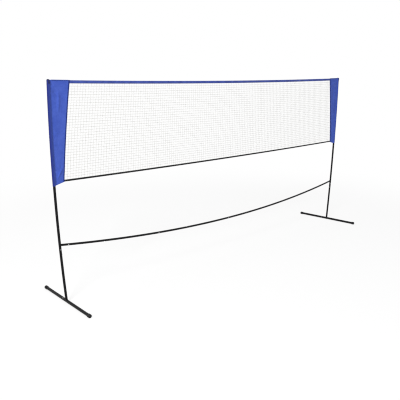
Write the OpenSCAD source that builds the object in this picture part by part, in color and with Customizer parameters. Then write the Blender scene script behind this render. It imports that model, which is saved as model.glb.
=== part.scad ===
// Portable net set: two springy posts on T feet, a bowed crossbar of plug-in tubes, and a low
// net held between two fabric pole sleeves. Millimetres. +Z is up, +X runs along the net, the
// posts stand in the plane Y = 0, and the origin is on the floor midway between them.

/* [Posts] */
// Distance between the two post axes, at the feet
post_spacing = 3310; // [2600:10:4000]
// Height of the highest point above the floor
overall_height = 1550; // [1450:5:1700]
// Outside diameter of the post tubes
post_d = 18; // [16:0.5:21]
// How far each post leans outwards where it leaves its foot, in degrees
post_lean = 5; // [3:0.1:6]
// Radius of the bow that the net's pull gives each post
post_bend_r = 14300; // [12000:100:20000]
// Distance from the crossbar down to the joint in the post
post_seam_drop = 45; // [35:1:90]
// How far the inner tube of a post reaches down below its joint
post_splice_reach = 50; // [45:1:90]
// Height of the rounded top of a post's cap above the tube
post_cap_rise = 5.5; // [4:0.5:7]
// How far a post's cap is pushed into the tube
post_cap_plug = 14; // [8:1:30]

/* [Feet] */
// Length of a foot over its end caps
foot_length = 668; // [560:2:800]
// Outside diameter of the foot tubes
foot_d = 22; // [19:0.5:25]
// How far each foot is turned so that the front ends stand wider apart, in degrees
foot_toe = 3.6; // [0:0.1:8]
// Distance from the post's axis back to the joint in the foot
foot_seam = 56; // [45:1:90]
// Stretch of bare inner tube between the two foot tubes
foot_gap = 4; // [1:0.5:8]
// How far the inner tube reaches into the rear foot tube
foot_splice_reach = 55; // [35:1:90]
// Outside diameter of a foot's end cap
cap_d = 27; // [26:0.5:32]
// Length of a foot's end cap
cap_length = 26; // [18:1:40]
// Thickness of a cap's closed end
cap_end = 5; // [4:0.5:8]
// Depth of the flat under each cap, where the foot stands
cap_flat = 0.5; // [0.3:0.1:1]

/* [Crossbar] */
// Height at which the crossbar's axis meets the posts' axes
bar_height = 434; // [380:2:520]
// Outside diameter of the crossbar tubes
bar_d = 16; // [14.5:0.5:18]
// How far the middle of the crossbar hangs below its ends
bar_drop = 107; // [60:1:140]
// How far the middle of the crossbar bows to the front
bar_bow = 26; // [0:1:60]
// Distance from a post's axis to the mouth of the socket that is welded to it
stub_length = 76; // [50:1:120]
// How far a crossbar inner tube reaches into the next tube
bar_splice_reach = 310; // [120:5:340]

/* [Tubes and buttons] */
// Wall of the post and crossbar tubes
tube_wall = 1; // [0.8:0.1:1.2]
// Wall of the foot tubes
foot_wall = 1.2; // [1:0.1:1.5]
// Wall of the inner tubes
splice_wall = 0.9; // [0.7:0.1:1]
// Radial play between an inner tube and the tube around it
fit_gap = 0.08; // [0.05:0.01:0.1]
// Length of an inner tube that stays fixed in the tube that carries it
splice_grip = 70; // [55:1:90]
// Distance from the end of an inner tube to its button
button_inset = 25; // [15:1:30]
// Diameter of a snap button
button_d = 7.6; // [6.5:0.1:8]
// How far a snap button stands proud of the tube
button_proud = 3.5; // [2.5:0.1:4]
// Length of the leaf spring on each side of the bend
leaf_length = 34; // [24:1:45]
// Diameter of a rivet's head
rivet_head_d = 6; // [4.5:0.5:7]
// Distance from a tube's end to the rivet that holds its inner tube
rivet_inset = 12; // [10:1:25]

/* [Sleeves] */
// Width of a sleeve at the top, from the post's axis
sleeve_top_w = 156; // [120:1:200]
// Width of a sleeve at the bottom, from the post's axis
sleeve_bottom_w = 79; // [60:1:110]
// How far the sleeve's free edge is drawn towards the post at mid height
sleeve_draw = 5; // [0:0.5:12]
// Thickness of the doubled fabric
sleeve_thick = 2.4; // [1.6:0.1:3]
// Play between the post and the pocket around it
pocket_gap = 0.3; // [0.2:0.05:0.6]
// Thickness of the pocket's fabric
pocket_wall = 1.1; // [0.8:0.1:1.6]
// How much lower the sleeve's bottom edge is at the post than at the net
sleeve_slant = 20; // [5:1:35]
// Width of the webbing loop over a post's cap
loop_w = 10; // [6:1:14]
// Length of the loop's sewn ends
loop_leg = 16; // [10:1:30]

/* [Net] */
// How far the top tape's middle line is below the highest point, where it meets the sleeves
top_tape_drop = 18; // [16:1:40]
// Width of the top tape
top_tape_w = 20; // [15:1:30]
// Sag of the top tape at mid span
top_sag = 12; // [0:1:30]
// Distance between the two tapes' middle lines, where they meet the sleeves
net_height = 654; // [560:2:760]
// Width of the bottom tape
bottom_tape_w = 13; // [8:0.5:20]
// Sag of the bottom tape at mid span
bottom_sag = 10; // [0:1:30]
// Thickness of both tapes
tape_thick = 2.2; // [1.6:0.1:3]
// Meshes along the net
mesh_across = 37; // [20:1:37]
// Meshes from tape to tape
mesh_up = 8; // [5:1:8]
// Thickness of the net's cord
cord_d = 2; // [1.6:0.1:3]

/* [Hidden] */

$fn = 32;
arc_fn = 720;      // steps of a full turn on the long bows
cut = 1;           // how far a cutter runs past what it cuts
bar_tubes = 4;     // plug-in tubes of the crossbar
right = 1;
left = -1;
front = -1;
rear = 1;

// Tube radii
post_r = post_d / 2;
post_bore_r = post_r - tube_wall;
post_splice_r = post_bore_r - fit_gap;
bar_r = bar_d / 2;
bar_bore_r = bar_r - tube_wall;
bar_splice_r = bar_bore_r - fit_gap;
foot_r = foot_d / 2;
foot_bore_r = foot_r - foot_wall;
foot_splice_r = foot_bore_r - fit_gap;

// Where the feet stand
foot_axis_z = cap_d / 2 - cap_flat;
foot_tube_end = foot_length / 2 - cap_end;
foot_rear_start = foot_seam + foot_gap;

// The bow of a post is one arc, which starts at the foot's axis
bow_centre_x = post_spacing / 2 - post_bend_r * cos(post_lean);
bow_centre_z = foot_axis_z + post_bend_r * sin(post_lean);
function post_tilt(z) = asin((bow_centre_z - z) / post_bend_r);
function post_x(z) = bow_centre_x + post_bend_r * cos(post_tilt(z));

// Heights on a post
post_seam_z = bar_height - post_seam_drop;
post_button_z = post_seam_z - post_splice_reach + button_inset;

// The crossbar is one arc too, in a plane that leans to the front
bar_half_span = post_x(bar_height);
bar_sag = norm([bar_drop, bar_bow]);
bar_plane = atan2(bar_bow, bar_drop);
bar_bend_r = (pow(bar_half_span, 2) + pow(bar_sag, 2)) / (2 * bar_sag);
bar_half_angle = asin(bar_half_span / bar_bend_r);
stub_angle = bar_degrees(stub_length);
bar_tube_angle = 2 * (bar_half_angle - stub_angle) / bar_tubes;
function bar_degrees(length) = length / bar_bend_r * 180 / PI;
function bar_seam(i) = -bar_half_angle + stub_angle + i * bar_tube_angle;

// Buttons on the crossbar: place along the arc, roll from the top towards the front, and the
// side on which the spring lies
bar_reach_angle = bar_degrees(bar_splice_reach - button_inset);
bar_button_at = [
    bar_seam(0) + bar_reach_angle, bar_seam(1) + bar_reach_angle, bar_seam(2) + bar_reach_angle,
    bar_seam(3) + bar_reach_angle, bar_seam(4) - bar_reach_angle
];
bar_button_roll = [160, 30, -100, -80, 160];
bar_button_side = [left, left, left, left, right];
bar_rivet_angle = bar_degrees(rivet_inset);
bar_rivet_at = [
    bar_seam(0) - bar_rivet_angle, bar_seam(1) - bar_rivet_angle, bar_seam(2) - bar_rivet_angle,
    bar_seam(3) - bar_rivet_angle, bar_seam(4) + bar_rivet_angle
];
bar_rivet_roll = 100;
tip_length = 2 * button_inset;
tip_lap = 2;
tip_relief = 0.06;
socket_end_gap = 3;
foot_rivet_roll = -35;

// Snap buttons and their springs
button_r = button_d / 2;
button_play = 0.2;
button_hole_r = button_r + button_play;
flange_lip = 0.5;
flange_r = button_r + flange_lip;
flange_thick = 0.7;
flange_play = 0.5;
leaf_w = 4.6;
leaf_thick = 0.5;
leaf_end_gap = 0.8;
wall_play = 0.1;

// Rivets
rivet_r = 1.5;
rivet_play = 0.1;
rivet_hole_r = rivet_r + rivet_play;
rivet_tail_r = 2.2;
rivet_tail_thick = 0.7;
rivet_head_thick = 1.2;

// Sleeve pockets and the loops over the post caps
pocket_in_r = post_r + pocket_gap;
pocket_out_r = pocket_in_r + pocket_wall;
loop_in_r = pocket_out_r + wall_play;
loop_thick = 1.2;
loop_out_r = loop_in_r + loop_thick;
loop_centre_z = overall_height - loop_out_r;
post_cap_top_z = overall_height - loop_thick - wall_play;
post_top_z = post_cap_top_z - post_cap_rise;
top_tape_z = overall_height - top_tape_drop;
bottom_tape_z = top_tape_z - net_height;
sleeve_over_tape = 2;
sleeve_under_tape = 1;
sleeve_top_post_z = loop_centre_z;
sleeve_top_net_z = top_tape_z + top_tape_w / 2 + sleeve_over_tape;
sleeve_bottom_net_z = bottom_tape_z - bottom_tape_w / 2 - sleeve_under_tape;
sleeve_bottom_post_z = sleeve_bottom_net_z - sleeve_slant;
sleeve_seam_run = 15;
sleeve_seam_d = pocket_out_r + sleeve_seam_run;
wrap_from = acos(pocket_out_r / sleeve_seam_d);
wrap_steps = 12;
panel_steps = 8;
rows_a_mesh = 2;
sleeve_layer = (sleeve_thick - pocket_gap) / 2;

// Folds that stand out of the cloth: both ends, each as its distance from the post and its
// height above the bottom tape, then the fold's half width and its rise towards the rear.
// They die out towards the seam and the edge, and over a share of their length at each end.
fold_fade = 25;
fold_end = 0.25;
right_folds = [
    [[120, 577], [50, 527], 15, 2.6],
    [[30, 622], [130, 592], 14, -2.4],
    [[30, 262], [90, 202], 16, 1.8],
    [[66, 107], [24, 27], 13, 2.6]
];
left_folds = [
    [[18, 600], [135, 542], 17, 2.6],
    [[72, 577], [64, 472], 13, -2.2],
    [[40, 252], [95, 182], 16, 2],
    [[72, 88], [20, 12], 12, -3]
];

// Free edge of a sleeve, which the tapes and the net meet: straight from one of its rows of
// corners to the next
edge_top_x = post_x(top_tape_z) - sleeve_top_w;
edge_bottom_x = post_x(bottom_tape_z) - sleeve_bottom_w;
function edge_share(z) = (z - bottom_tape_z) / (top_tape_z - bottom_tape_z);
function edge_curve(z) =
    let (t = edge_share(z))
    edge_bottom_x + (edge_top_x - edge_bottom_x) * t + 4 * sleeve_draw * t * (1 - t);
net_top_z = top_tape_z - top_tape_w / 2;
net_bottom_z = bottom_tape_z + bottom_tape_w / 2;
function edge_rows(parts) = [
    sleeve_bottom_net_z,
    bottom_tape_z - bottom_tape_w / 2,
    for (j = [0 : parts * mesh_up]) net_bottom_z + (net_top_z - net_bottom_z) * j / (parts * mesh_up),
    top_tape_z + top_tape_w / 2,
    sleeve_top_net_z
];
edge_table = [for (z = edge_rows(1)) [z, edge_curve(z)]];
function edge_x(z) = lookup(z, edge_table);

// A tape hangs in a shallow parabola between the sleeves
function sagged(x, z_end, sag) = z_end - sag * (1 - pow(x / edge_x(z_end), 2));
tape_steps = mesh_across;

// A point of the net: u runs from left to right, v from the bottom tape to the top tape
function net_point(u, v) =
    let (
        z_edge = net_bottom_z + (net_top_z - net_bottom_z) * v,
        x = (2 * u - 1) * edge_x(z_edge),
        sag = bottom_sag + (top_sag - bottom_sag) * v
    )
    [x, z_edge - sag * (1 - pow(2 * u - 1, 2))];

// ---- Helpers -------------------------------------------------------------------------------

module on_side(side) {
    if (side == left) mirror([1, 0, 0]) children();
    else children();
}

module ring(r_out, r_in) {
    difference() {
        circle(r_out);
        circle(r_in);
    }
}

// A round section swept along the post's bow between two heights; r_in of 0 makes it solid
module post_arc(z_from, z_to, r_out, r_in = 0) {
    tilt_from = post_tilt(z_from);
    translate([bow_centre_x, 0, bow_centre_z])
        rotate([90, 0, 0])
            rotate([0, 0, -tilt_from])
                rotate_extrude(angle = tilt_from - post_tilt(z_to), $fn = arc_fn)
                    translate([post_bend_r, 0])
                        if (r_in > 0) ring(r_out, r_in, $fn = 32);
                        else circle(r_out, $fn = 32);
}

// Local frame on the post's axis: +Z is square to the tube and points inwards, +X runs up it
module at_post(z) {
    translate([post_x(z), 0, z]) rotate([0, post_tilt(z) - 90, 0]) children();
}

module at_bar_centre() {
    translate([0, 0, bar_height])
        rotate([-bar_plane, 0, 0])
            translate([0, 0, bar_bend_r - bar_sag])
                children();
}

// A round section swept along the crossbar's bow between two angles from its middle
module bar_arc(from, to, r_out, r_in) {
    at_bar_centre()
        rotate([90, 0, 0])
            rotate([0, 0, from - 90])
                rotate_extrude(angle = to - from, $fn = arc_fn)
                    translate([bar_bend_r, 0])
                        ring(r_out, r_in, $fn = 32);
}

// An inner tube of the crossbar: bowed, with a straight and slightly slimmer tip for the button
module bar_splice(grip_end, tip_end, button_at) {
    toward = tip_end > grip_end ? 1 : -1;
    neck = tip_end - toward * bar_degrees(tip_length - tip_lap);
    bar_arc(min(grip_end, neck), max(grip_end, neck), bar_splice_r, bar_splice_r - splice_wall);
    at_bar(button_at, 0)
        rotate([90, 0, 90])
            linear_extrude(tip_length, center = true)
                rotate(67.5)
                    ring(bar_splice_r - tip_relief, bar_splice_r - splice_wall + tip_relief);
}

// Local frame on the crossbar's axis: +Z is square to the tube, +X runs along it to the right
module at_bar(angle, roll) {
    at_bar_centre()
        rotate([0, -angle, 0])
            translate([0, 0, -bar_bend_r])
                rotate([roll, 0, 0])
                    children();
}

// Local frame of a foot: +Y runs back along its axis from the foot of the post
module at_foot() {
    translate([post_spacing / 2, 0, foot_axis_z]) rotate([0, 0, foot_toe]) children();
}

module foot_cylinder(y_from, y_to, r) {
    translate([0, y_from, 0]) rotate([-90, 0, 0]) cylinder(h = y_to - y_from, r = r);
}

module foot_tube(y_from, y_to, r_out, r_in) {
    difference() {
        foot_cylinder(y_from, y_to, r_out);
        foot_cylinder(y_from - cut, y_to + cut, r_in);
    }
}

// Local frame of the rivet that holds a foot's inner tube
module at_foot_rivet() {
    at_foot()
        translate([0, foot_seam - rivet_inset, 0])
            rotate([0, -foot_rivet_roll, 0])
                children();
}

module post_rivet_hole() {
    at_post(post_seam_z + rivet_inset) rotate([90, 0, 0]) rivet_hole(post_r);
}

module button_hole(r_out) {
    cylinder(h = r_out + cut, r = button_hole_r);
}

module rivet_hole(r_out) {
    cylinder(h = r_out + cut, r = rivet_hole_r);
}

// A snap button with the leaf that carries it. Its tube's axis is X, and it points along +Z.
module snap_button(tube_r, bore_r) {
    flange_top = flange_level(bore_r);
    color("gainsboro") {
        rotate_extrude()
            button_profile(flange_top, tube_r + button_proud);
        translate([-flange_r, -leaf_w / 2, leaf_level(bore_r)])
            cube([leaf_length + flange_r, leaf_w, leaf_thick]);
    }
}

// Top of the flange, where it stops against the wall, and the underside of the leaf below it
function flange_level(bore_r) = sqrt(pow(bore_r, 2) - pow(flange_r, 2)) - flange_play;
function leaf_level(bore_r) = flange_level(bore_r) - flange_thick - leaf_thick / 2;

// Half section of the button: a flange inside the tube, a shank and a domed head
module button_profile(flange_top, head_top) {
    dome = button_r * 0.55;
    translate([0, flange_top - flange_thick]) square([flange_r, flange_thick]);
    translate([0, flange_top - cut / 2]) square([button_r, head_top - dome - flange_top + cut / 2]);
    intersection() {
        translate([0, head_top - dome - cut / 2]) square([button_r, dome + cut / 2]);
        translate([0, head_top - dome_r(dome)]) circle(dome_r(dome), $fn = 64);
    }
}

function even_hundredths(size) = round(size * 50) / 50;

function dome_r(rise) = (pow(button_r, 2) + pow(rise, 2)) / (2 * rise);

// The rest of the spring: a leg on the far wall and the bend that turns it back to the leaf.
// The levels are even hundredths, so that leg and bend meet in one edge.
module button_spring(bore_r) {
    leg_z = even_hundredths(-sqrt(pow(bore_r, 2) - pow(leaf_w / 2, 2)) + wall_play);
    bend_x = leaf_length + leaf_end_gap;
    bend_r = even_hundredths(leaf_level(bore_r) + leaf_thick - leg_z) / 2;
    translate([0, leaf_w / 2, 0]) rotate([90, 0, 0]) linear_extrude(leaf_w) {
        translate([-flange_r, leg_z]) square([bend_x + flange_r, leaf_thick]);
        translate([bend_x, leg_z + bend_r])
            intersection() {
                ring(bend_r, bend_r - leaf_thick);
                translate([0, -bend_r]) square([bend_r, 2 * bend_r]);
            }
    }
}

// A blind rivet through a tube's wall and its inner tube's wall
module rivet(tube_r, bore_r) {
    tail_top = sqrt(pow(bore_r, 2) - pow(rivet_tail_r, 2)) - wall_play;
    head_r = rivet_head_d / 2;
    rotate_extrude() {
        translate([0, tail_top - rivet_tail_thick]) square([rivet_tail_r, rivet_tail_thick]);
        translate([0, tail_top]) square([rivet_r, tube_r - tail_top]);
        translate([0, tube_r])
            intersection() {
                square([head_r, rivet_head_thick]);
                scale([1, 2 * rivet_head_thick / rivet_head_d]) circle(head_r);
            }
    }
}

// ---- Feet ----------------------------------------------------------------------------------

module foot_front_tube(side) {
    color("#2b2b2d") on_side(side)
        difference() {
            at_foot() foot_tube(-foot_tube_end, foot_seam, foot_r, foot_bore_r);
            at_foot_rivet() rivet_hole(foot_r);
        }
}

module foot_inner_tube(side) {
    inner_end = foot_rear_start + foot_splice_reach;
    color("#3a3a3c") on_side(side)
        difference() {
            at_foot()
                foot_tube(foot_seam - splice_grip, inner_end, foot_splice_r, foot_splice_r - splice_wall);
            at_foot_rivet() rivet_hole(foot_r);
        }
}

module foot_rear_tube(side) {
    color("#2b2b2d") on_side(side)
        at_foot() foot_tube(foot_rear_start, foot_tube_end, foot_r, foot_bore_r);
}

// A cap over the end of a foot tube, with a rounded end and a flat to stand on
module foot_cap(side, end) {
    edge_r = cap_d / 4;
    color("#141415") on_side(side)
        difference() {
            at_foot()
                rotate([0, 0, end == rear ? 0 : 180])
                    translate([0, foot_length / 2 - cap_length, 0])
                        rotate([-90, 90, 0])
                            rotate_extrude()
                                cap_profile(edge_r);
            translate([0, -foot_length, -foot_length])
                cube([post_spacing, 2 * foot_length, foot_length]);
        }
}

module cap_profile(edge_r) {
    difference() {
        union() {
            square([cap_d / 2, cap_length - edge_r]);
            square([cap_d / 2 - edge_r, cap_length]);
            translate([cap_d / 2 - edge_r, cap_length - edge_r])
                intersection() {
                    circle(edge_r);
                    square(edge_r);
                }
        }
        translate([-cut, -cut]) square([foot_r + fit_gap / 2 + cut, cap_length - cap_end + cut]);
    }
}

// ---- Posts ---------------------------------------------------------------------------------

module post_lower(side) {
    color("#19191b") on_side(side)
        difference() {
            post_arc(foot_axis_z, post_seam_z, post_r, post_bore_r);
            at_foot() foot_cylinder(-post_d, post_d, foot_r);
            at_post(post_button_z) button_hole(post_r);
        }
}

module post_inner_tube(side) {
    color("#3a3a3c") on_side(side)
        difference() {
            post_arc(post_seam_z - post_splice_reach, post_seam_z + splice_grip,
                post_splice_r, post_splice_r - splice_wall);
            at_post(post_button_z) button_hole(post_r);
            post_rivet_hole();
        }
}

module post_upper(side) {
    color("#19191b") on_side(side)
        difference() {
            post_arc(post_seam_z, post_top_z, post_r, post_bore_r);
            post_rivet_hole();
        }
}

module post_cap(side) {
    dome = (pow(post_r, 2) + pow(post_cap_rise, 2)) / (2 * post_cap_rise);
    color("#141415") on_side(side)
        at_post(post_top_z)
            rotate([0, 90, 0])
                rotate_extrude() {
                    translate([0, -post_cap_plug]) square([post_bore_r - fit_gap, post_cap_plug]);
                    intersection() {
                        square([post_r, post_cap_rise]);
                        translate([0, post_cap_rise - dome]) circle(dome, $fn = 96);
                    }
                }
}

// ---- Crossbar ------------------------------------------------------------------------------

// The socket that is welded to a post, cut to fit round it
module bar_socket(side) {
    color("#19191b") on_side(side)
        difference() {
            bar_arc(bar_seam(bar_tubes), bar_half_angle, bar_r, bar_bore_r);
            post_arc(bar_height - 2 * bar_d, bar_height + 2 * bar_d, post_r);
            at_bar(bar_rivet_at[bar_tubes], bar_rivet_roll) rivet_hole(bar_r);
        }
}

// The long inner tube of a socket
module socket_inner_tube(side, button) {
    seam = bar_seam(bar_tubes);
    grip = bar_degrees(stub_length - post_r - socket_end_gap);
    color("#3a3a3c") on_side(side)
        difference() {
            bar_splice(seam + grip, seam - bar_degrees(bar_splice_reach), bar_button_at[bar_tubes]);
            at_bar(bar_button_at[bar_tubes], bar_button_roll[button]) button_hole(bar_r);
            at_bar(bar_rivet_at[bar_tubes], bar_rivet_roll) rivet_hole(bar_r);
        }
}

module bar_tube(i) {
    color("#19191b")
        difference() {
            bar_arc(bar_seam(i - 1), bar_seam(i), bar_r, bar_bore_r);
            at_bar(bar_button_at[i - 1], bar_button_roll[i - 1]) button_hole(bar_r);
            if (i == bar_tubes) at_bar(bar_button_at[i], bar_button_roll[i]) button_hole(bar_r);
            else at_bar(bar_rivet_at[i], bar_rivet_roll) rivet_hole(bar_r);
        }
}

module bar_inner_tube(i) {
    color("#3a3a3c")
        difference() {
            bar_splice(bar_seam(i) - bar_degrees(splice_grip),
                bar_seam(i) + bar_degrees(bar_splice_reach), bar_button_at[i]);
            at_bar(bar_button_at[i], bar_button_roll[i]) button_hole(bar_r);
            at_bar(bar_rivet_at[i], bar_rivet_roll) rivet_hole(bar_r);
        }
}

// ---- Buttons, springs and rivets -----------------------------------------------------------

module post_button(side) {
    on_side(side) at_post(post_button_z) snap_button(post_r, post_splice_r - splice_wall);
}

module at_bar_button(i) {
    at_bar(bar_button_at[i], bar_button_roll[i])
        rotate([0, 0, bar_button_side[i] == left ? 180 : 0])
            children();
}

module bar_button(i) {
    at_bar_button(i - 1) snap_button(bar_r, bar_splice_r - splice_wall);
}

module button_springs() {
    color("silver") {
        for (side = [left, right])
            on_side(side) at_post(post_button_z) button_spring(post_splice_r - splice_wall);
        for (i = [0 : bar_tubes])
            at_bar_button(i) button_spring(bar_splice_r - splice_wall);
    }
}

module rivets() {
    color("silver") {
        for (side = [left, right]) on_side(side) {
            at_foot_rivet() rivet(foot_r, foot_splice_r - splice_wall);
            at_post(post_seam_z + rivet_inset)
                rotate([90, 0, 0])
                    rivet(post_r, post_splice_r - splice_wall);
        }
        for (i = [0 : bar_tubes])
            at_bar(bar_rivet_at[i], bar_rivet_roll) rivet(bar_r, bar_splice_r - splice_wall);
    }
}

// ---- Sleeves, tapes and net ----------------------------------------------------------------

// A sleeve is one sheet of cloth round the post, whose two layers lie together as a panel from
// the pocket's seam to the free edge. Its rows run round it from the rear.
function eased(t) = let (c = max(0, min(1, t))) c * c * (3 - 2 * c);
function total(values) = values * [for (value = values) 1];

function fold_rise(p, fold) =
    let (
        run = fold[1] - fold[0],
        share = ((p - fold[0]) * run) / (run * run),
        off = norm(p - fold[0] - share * run),
        ends = eased(share / fold_end + 1) * eased((1 - share) / fold_end + 1)
    )
    fold[3] * ends * exp(-pow(off / fold[2], 2));

function panel_rise(d, width, z, folds) =
    total([for (fold = folds) fold_rise([d, z - bottom_tape_z], fold)])
    * eased((d - sleeve_seam_d) / fold_fade) * eased((width - d) / fold_fade);

// A point on one layer of the panel, at a share of the way from the pocket's seam to the edge
function panel_point(post_z, edge_z, share, y, trim, folds) =
    let (
        width = post_x(post_z) - edge_x(edge_z),
        d = sleeve_seam_d + (width - trim - sleeve_seam_d) * share,
        z = post_z + (edge_z - post_z) * d / width
    )
    [post_x(post_z) - d, y + panel_rise(d, width, z, folds), z];

function sleeve_row(edge_z, r, y, trim, folds) =
    let (
        t = (edge_z - sleeve_bottom_net_z) / (sleeve_top_net_z - sleeve_bottom_net_z),
        z = sleeve_bottom_post_z + (sleeve_top_post_z - sleeve_bottom_post_z) * t,
        last = panel_steps - 1
    )
    [
        for (k = [0 : wrap_steps])
            let (turn = wrap_from + (360 - 2 * wrap_from) * k / wrap_steps)
            [post_x(z) - r * cos(turn), r * sin(turn), z],
        for (k = [0 : last]) panel_point(z, edge_z, k / last, -y, trim, folds),
        for (k = [0 : last]) panel_point(z, edge_z, 1 - k / last, y, trim, folds)
    ];

module sleeve_cloth(folds) {
    rows = edge_rows(rows_a_mesh);
    round = wrap_steps + 1 + 2 * panel_steps;
    outside = [for (z = rows) each sleeve_row(z, pocket_out_r, sleeve_thick / 2, 0, folds)];
    inside = [for (z = rows) each sleeve_row(z, pocket_in_r, pocket_gap / 2, sleeve_layer, folds)];
    top = round * (len(rows) - 1);
    inner = len(outside);
    polyhedron(
        concat(outside, inside),
        [
            for (j = [0 : len(rows) - 2], k = [0 : round - 1])
                let (a = j * round + k, b = j * round + (k + 1) % round, c = b + round, d = a + round)
                each [
                    [a, b, c], [a, c, d],
                    [inner + a, inner + c, inner + b], [inner + a, inner + d, inner + c]
                ],
            for (k = [0 : round - 1])
                let (l = (k + 1) % round)
                each [
                    [top + k, top + l, inner + top + l], [top + k, inner + top + l, inner + top + k],
                    [k, inner + l, l], [k, inner + k, inner + l]
                ]
        ]
    );
}

module sleeve(side) {
    color("#4a60be") on_side(side) sleeve_cloth(side == left ? left_folds : right_folds);
}

// A loop of webbing over the post's cap, sewn to the pocket, which keeps the sleeve up
module top_loop(side) {
    color("#1b1b22") on_side(side)
        translate([post_x(loop_centre_z), 0, loop_centre_z])
            rotate([90, 0, 90])
                linear_extrude(loop_w, center = true)
                    difference() {
                        loop_outline(loop_out_r, loop_leg);
                        loop_outline(loop_in_r, loop_leg + cut);
                    }
}

module loop_outline(r, leg) {
    circle(r);
    translate([-r, -leg]) square([2 * r, leg]);
}

// A tape between the sleeves, square to the floor, with its sag
function tape_line(z_end, sag, turn) = [
    for (i = [0 : tape_steps])
        let (x = turn * (2 * i / tape_steps - 1) * edge_x(z_end))
        [x, sagged(x, z_end, sag)]
];

module tape(z, width, sag) {
    rotate([90, 0, 0])
        linear_extrude(tape_thick, center = true)
            polygon(concat(
                tape_line(z - width / 2, sag, right),
                tape_line(z + width / 2, sag, left)
            ));
}

module top_tape() {
    color("#44549c") tape(top_tape_z, top_tape_w, top_sag);
}

module bottom_tape() {
    color("#1c1c1e") tape(bottom_tape_z, bottom_tape_w, bottom_sag);
}

// Outline of the net, then the outline of each mesh
net_rim = concat(
    [for (i = [0 : mesh_across - 1]) net_point(i / mesh_across, 0)],
    [for (j = [0 : mesh_up - 1]) net_point(1, j / mesh_up)],
    [for (i = [0 : mesh_across - 1]) net_point(1 - i / mesh_across, 1)],
    [for (j = [0 : mesh_up - 1]) net_point(0, 1 - j / mesh_up)]
);
cord_u = cord_d / (2 * (edge_x(net_top_z) + edge_x(net_bottom_z)));
cord_v = cord_d / (2 * (net_top_z - net_bottom_z));

// Corners of one mesh; the outermost cords keep their whole width
function mesh_corners(i, j) =
    let (
        u0 = i / mesh_across + (i == 0 ? 2 : 1) * cord_u,
        u1 = (i + 1) / mesh_across - (i == mesh_across - 1 ? 2 : 1) * cord_u,
        v0 = j / mesh_up + (j == 0 ? 2 : 1) * cord_v,
        v1 = (j + 1) / mesh_up - (j == mesh_up - 1 ? 2 : 1) * cord_v
    )
    [net_point(u0, v0), net_point(u0, v1), net_point(u1, v1), net_point(u1, v0)];

mesh_points = [
    for (i = [0 : mesh_across - 1], j = [0 : mesh_up - 1], corner = mesh_corners(i, j)) corner
];
mesh_paths = [
    for (k = [0 : mesh_across * mesh_up - 1]) [for (c = [0 : 3]) len(net_rim) + 4 * k + c]
];

module net_mesh() {
    color("#f2f2ef")
        rotate([90, 0, 0])
            linear_extrude(cord_d, center = true)
                polygon(
                    concat(net_rim, mesh_points),
                    concat([[for (k = [0 : len(net_rim) - 1]) k]], mesh_paths)
                );
}

foot_front_tube(left);  // left_foot_front_tube
foot_inner_tube(left);  // left_foot_inner_tube
foot_rear_tube(left);  // left_foot_rear_tube
foot_cap(left, front);  // left_foot_front_cap
foot_cap(left, rear);  // left_foot_rear_cap
foot_front_tube(right);  // right_foot_front_tube
foot_inner_tube(right);  // right_foot_inner_tube
foot_rear_tube(right);  // right_foot_rear_tube
foot_cap(right, front);  // right_foot_front_cap
foot_cap(right, rear);  // right_foot_rear_cap
post_lower(left);  // left_post_lower
post_inner_tube(left);  // left_post_inner_tube
post_upper(left);  // left_post_upper
post_cap(left);  // left_post_cap
post_lower(right);  // right_post_lower
post_inner_tube(right);  // right_post_inner_tube
post_upper(right);  // right_post_upper
post_cap(right);  // right_post_cap
bar_socket(left);  // left_bar_socket
socket_inner_tube(left, 0);  // left_bar_inner_tube
bar_socket(right);  // right_bar_socket
socket_inner_tube(right, 4);  // right_bar_inner_tube
bar_tube(1);  // bar_tube_1
bar_tube(2);  // bar_tube_2
bar_tube(3);  // bar_tube_3
bar_tube(4);  // bar_tube_4
bar_inner_tube(1);  // bar_inner_tube_1
bar_inner_tube(2);  // bar_inner_tube_2
bar_inner_tube(3);  // bar_inner_tube_3
post_button(left);  // left_post_button
post_button(right);  // right_post_button
bar_button(1);  // bar_button_1
bar_button(2);  // bar_button_2
bar_button(3);  // bar_button_3
bar_button(4);  // bar_button_4
bar_button(5);  // bar_button_5
button_springs();
rivets();
sleeve(left);  // left_sleeve
sleeve(right);  // right_sleeve
top_loop(left);  // left_top_loop
top_loop(right);  // right_top_loop
top_tape();
bottom_tape();
net_mesh();
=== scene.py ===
import math

import bmesh
import bpy
import numpy as np
from mathutils import Matrix, Vector, noise


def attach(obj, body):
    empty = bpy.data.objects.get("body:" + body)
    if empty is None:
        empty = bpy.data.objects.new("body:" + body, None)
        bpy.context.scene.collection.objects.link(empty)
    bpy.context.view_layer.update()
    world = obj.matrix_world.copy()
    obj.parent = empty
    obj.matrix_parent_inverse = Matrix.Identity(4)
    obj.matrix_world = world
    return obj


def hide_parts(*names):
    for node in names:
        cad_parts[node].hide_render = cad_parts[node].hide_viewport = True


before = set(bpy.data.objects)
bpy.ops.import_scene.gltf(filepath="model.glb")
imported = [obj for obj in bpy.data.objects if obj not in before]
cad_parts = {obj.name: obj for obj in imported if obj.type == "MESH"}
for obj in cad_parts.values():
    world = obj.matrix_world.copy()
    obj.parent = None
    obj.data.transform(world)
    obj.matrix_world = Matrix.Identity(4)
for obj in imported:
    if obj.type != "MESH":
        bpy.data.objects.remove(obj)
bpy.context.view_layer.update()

# ---- Sizes, in metres, the same as the part's own ----------------------------------------------
MM = 0.001
LEFT, RIGHT = -1, 1
FRONT, BACK = -1, 1

POST_SPACING = 3.310
POST_R = 9 * MM
POST_LEAN = math.radians(5)
POST_BEND_R = 14.3
FOOT_R = 11 * MM
FOOT_AXIS_Z = 13 * MM
FOOT_TOE = math.radians(3.6)
BAR_R = 8 * MM
BAR_HEIGHT = 0.434
BAR_DROP = 0.107
BAR_BOW = 0.026

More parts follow.
